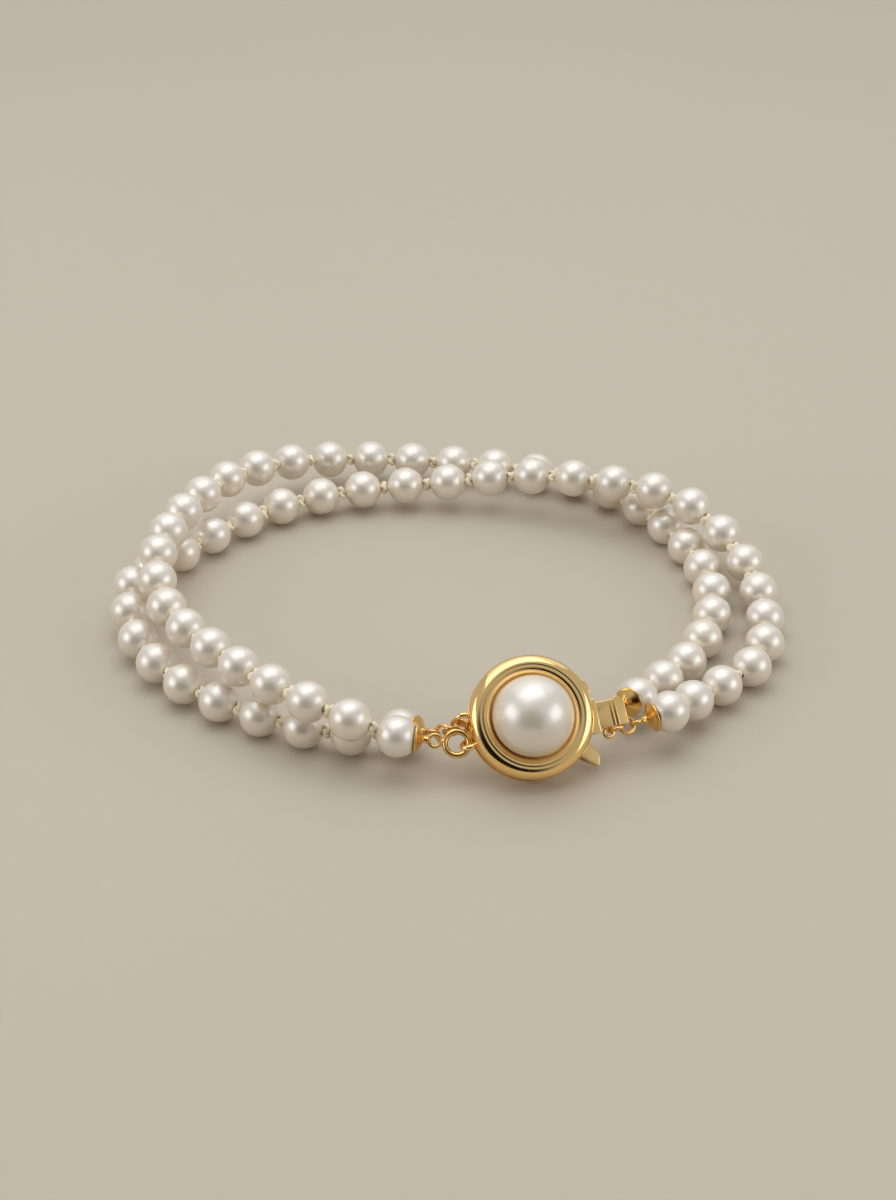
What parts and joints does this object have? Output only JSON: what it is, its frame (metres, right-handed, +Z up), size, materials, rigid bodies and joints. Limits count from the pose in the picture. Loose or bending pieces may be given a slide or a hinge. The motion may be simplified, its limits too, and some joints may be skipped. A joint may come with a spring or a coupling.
{
  "type": "two-strand pearl bracelet",
  "caption": "Two-strand bracelet of knotted round pearls on a round gold box clasp set with a half pearl, lying in an open loop; a small safety lever turns behind the clasp.",
  "frame": {"origin": "on the surface that the bracelet lies on, under the middle of its box", "axes": "+Z up from the surface, +X from the end of the clasp with the lugs towards its tongue, along the loop's longer way, +Y from the clasp across the loop to its back"},
  "size_m": [0.0762, 0.069, 0.0117],
  "materials": {
    "gold": "polished yellow gold",
    "mabe_pearl": "glossy white nacre with a grey-pink tone",
    "pearls": "glossy cream-white nacre, with cream silk knots between the pearls"
  },
  "bodies": {
    "bracelet": {"case": "gold", "tongue": "gold", "end_cup_a_left": "gold", "link_b_left_1": "gold", "link_b_left_2": "gold", "link_b_left_3": "gold", "end_cup_b_left": "gold", "link_a_right_1": "gold", "link_a_right_2": "gold", "end_cup_a_right": "gold", "link_b_right_1": "gold", "link_b_right_2": "gold", "end_cup_b_right": "gold", "mabe_pearl": "mabe_pearl", "strand_a": "pearls", "strand_b": "pearls"},
    "lever": {"safety_lever": "gold"}
  },
  "joints": [
    {"name": "lever_turn", "type": "hinge", "parent": "bracelet", "child": "lever", "pos_m": [0.01339, -0.0275, 0.00364], "axis": [0.1181, -0.7454, 0.6561], "range_deg": [0, 25]}
  ]
}
